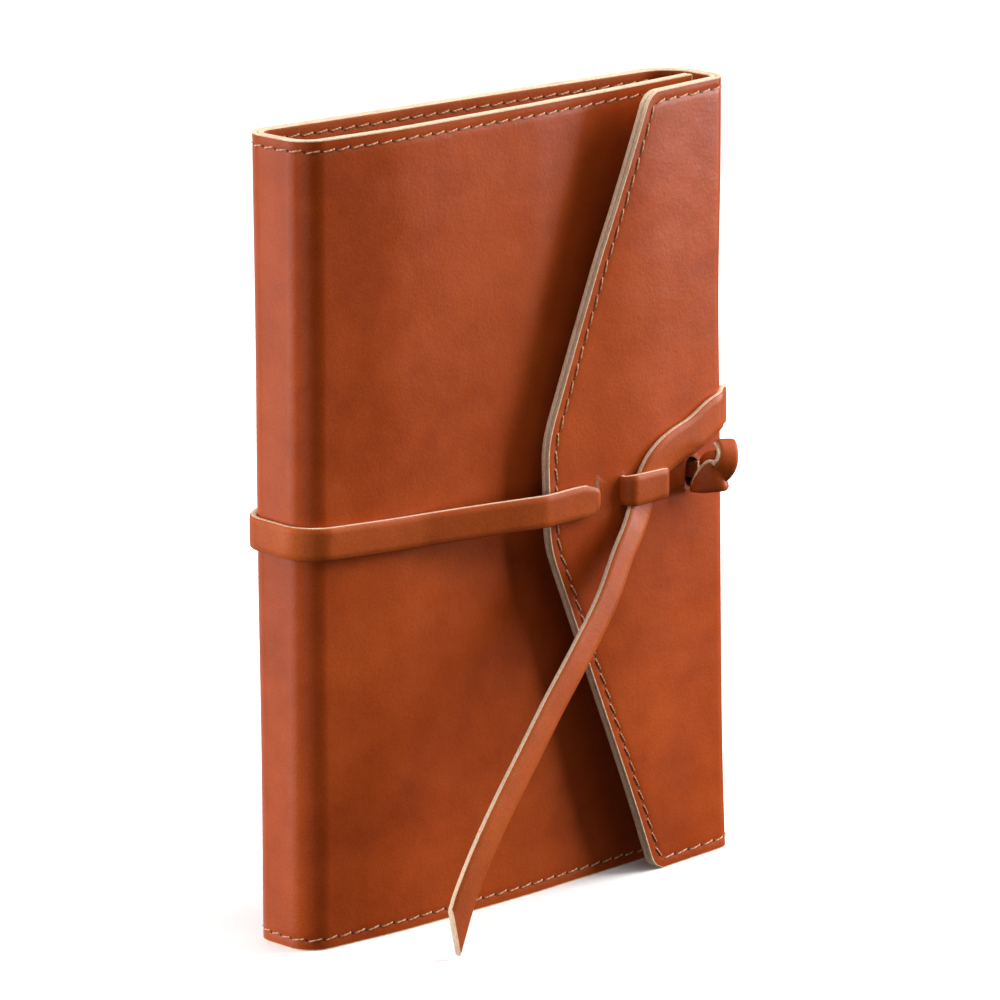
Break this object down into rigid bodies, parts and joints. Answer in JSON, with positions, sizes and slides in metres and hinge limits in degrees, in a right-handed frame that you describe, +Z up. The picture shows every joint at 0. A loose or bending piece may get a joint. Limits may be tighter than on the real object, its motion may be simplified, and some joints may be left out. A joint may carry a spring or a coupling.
{
  "type": "notebook cover",
  "caption": "Refillable leather notebook cover with a pointed front flap, closed by a flat lace wrapped round it and tucked under its own keeper loop.",
  "frame": {"origin": "on the surface that the cover stands on, under the middle of its box without the loose lace end", "axes": "+Z up along the spine, +X from the spine to the fold, and the front with its flap looks along -Y"},
  "size_m": [0.1632, 0.0605, 0.225],
  "materials": {
    "outer_leather": "smooth polished cowhide, cognac brown",
    "lining_leather": "satin orange-brown, pale raw edges",
    "sleeve_leather": "thin satin leather",
    "lace_leather": "smooth, slightly more orange, pale raw edges",
    "thread": "waxed tan thread, lockstitch"
  },
  "bodies": {
    "back": {"outer_back": "outer_leather", "lining_back": "lining_leather", "sleeve_back": "sleeve_leather", "thread_back_top": "thread", "thread_back_bottom": "thread"},
    "spine": {"outer_spine": "outer_leather", "lining_spine": "lining_leather", "thread_spine_top": "thread", "thread_spine_bottom": "thread"},
    "front": {"outer_front": "outer_leather", "lining_front": "lining_leather", "sleeve_front": "sleeve_leather", "thread_front": "thread"},
    "fold": {"outer_fold": "outer_leather", "lining_fold": "lining_leather", "thread_fold_top": "thread", "thread_fold_bottom": "thread"},
    "flap": {"outer_flap": "outer_leather", "lining_flap": "lining_leather", "thread_flap": "thread", "lace_weave": "lace_leather", "lace_knot": "lace_leather"},
    "tie_front": {"lace_front": "lace_leather"},
    "tie_spine": {"lace_spine": "lace_leather"},
    "tie_back": {"lace_back": "lace_leather"},
    "tie_fold": {"lace_fold": "lace_leather"},
    "tie_cross": {"lace_cross": "lace_leather"},
    "tie_tail": {"lace_tail": "lace_leather"}
  },
  "joints": [
    {"name": "front_hinge", "type": "hinge", "parent": "spine", "child": "front", "pos_m": [-0.07704, -0.00662, 0.1125], "axis": [0, 0, 1], "range_deg": [-90, 0]},
    {"name": "spine_hinge", "type": "hinge", "parent": "back", "child": "spine", "pos_m": [-0.07696, 0.01495, 0.1125], "axis": [0, 0, 1], "range_deg": [-90, 0]},
    {"name": "fold_hinge", "type": "hinge", "parent": "back", "child": "fold", "pos_m": [0.07549, 0.01348, 0.1125], "axis": [0, 0, 1], "range_deg": [0, 90]},
    {"name": "flap_hinge", "type": "hinge", "parent": "fold", "child": "flap", "pos_m": [0.07763, -0.006, 0.1125], "axis": [0, 0, 1], "range_deg": [0, 81], "deforming": ["outer_flap", "lining_flap", "thread_flap", "lace_weave", "lace_knot"]},
    {"name": "tie_front_hinge", "type": "hinge", "parent": "flap", "child": "tie_front", "pos_m": [0.0215, -0.0152, 0.1123], "axis": [-0.0789, -0.9967, 0.0199], "range_deg": [0, 95], "deforming": ["lace_front"]},
    {"name": "tie_spine_hinge", "type": "hinge", "parent": "tie_front", "child": "tie_spine", "pos_m": [-0.07793, -0.00769, 0.1148], "axis": [0, 0, 1], "range_deg": [0, 12.8], "deforming": ["lace_spine"]},
    {"name": "tie_back_hinge", "type": "hinge", "parent": "tie_spine", "child": "tie_back", "pos_m": [-0.07788, 0.01587, 0.1148], "axis": [0, 0, 1], "range_deg": [0, 71.5], "deforming": ["lace_back"]},
    {"name": "tie_fold_hinge", "type": "hinge", "parent": "tie_back", "child": "tie_fold", "pos_m": [0.07641, 0.0144, 0.1289], "axis": [0, 0, 1], "range_deg": [0, 83.3], "deforming": ["lace_fold"]},
    {"name": "tie_cross_hinge", "type": "hinge", "parent": "tie_fold", "child": "tie_cross", "pos_m": [0.0786, -0.007, 0.131], "axis": [0, 0, 1], "range_deg": [0, 90.7], "deforming": ["lace_cross"]},
    {"name": "tie_tail_hinge", "type": "hinge", "parent": "tie_cross", "child": "tie_tail", "pos_m": [0.0382, -0.0153, 0.1075], "axis": [-0.005, 0.9733, -0.2294], "range_deg": [0, 17.3], "deforming": ["lace_tail"]}
  ],
  "couplings": [
    {"joint": "spine_hinge", "follows": "front_hinge", "ratio": 1},
    {"joint": "fold_hinge", "follows": "front_hinge", "ratio": -1},
    {"joint": "flap_hinge", "follows": "front_hinge", "ratio": -0.9},
    {"joint": "tie_front_hinge", "follows": "front_hinge", "ratio": -1.0555},
    {"joint": "tie_spine_hinge", "follows": "front_hinge", "ratio": -0.1422},
    {"joint": "tie_back_hinge", "follows": "front_hinge", "ratio": -0.7944},
    {"joint": "tie_fold_hinge", "follows": "front_hinge", "ratio": -0.9255},
    {"joint": "tie_cross_hinge", "follows": "front_hinge", "ratio": -1.0077},
    {"joint": "tie_tail_hinge", "follows": "front_hinge", "ratio": -0.1922}
  ]
}
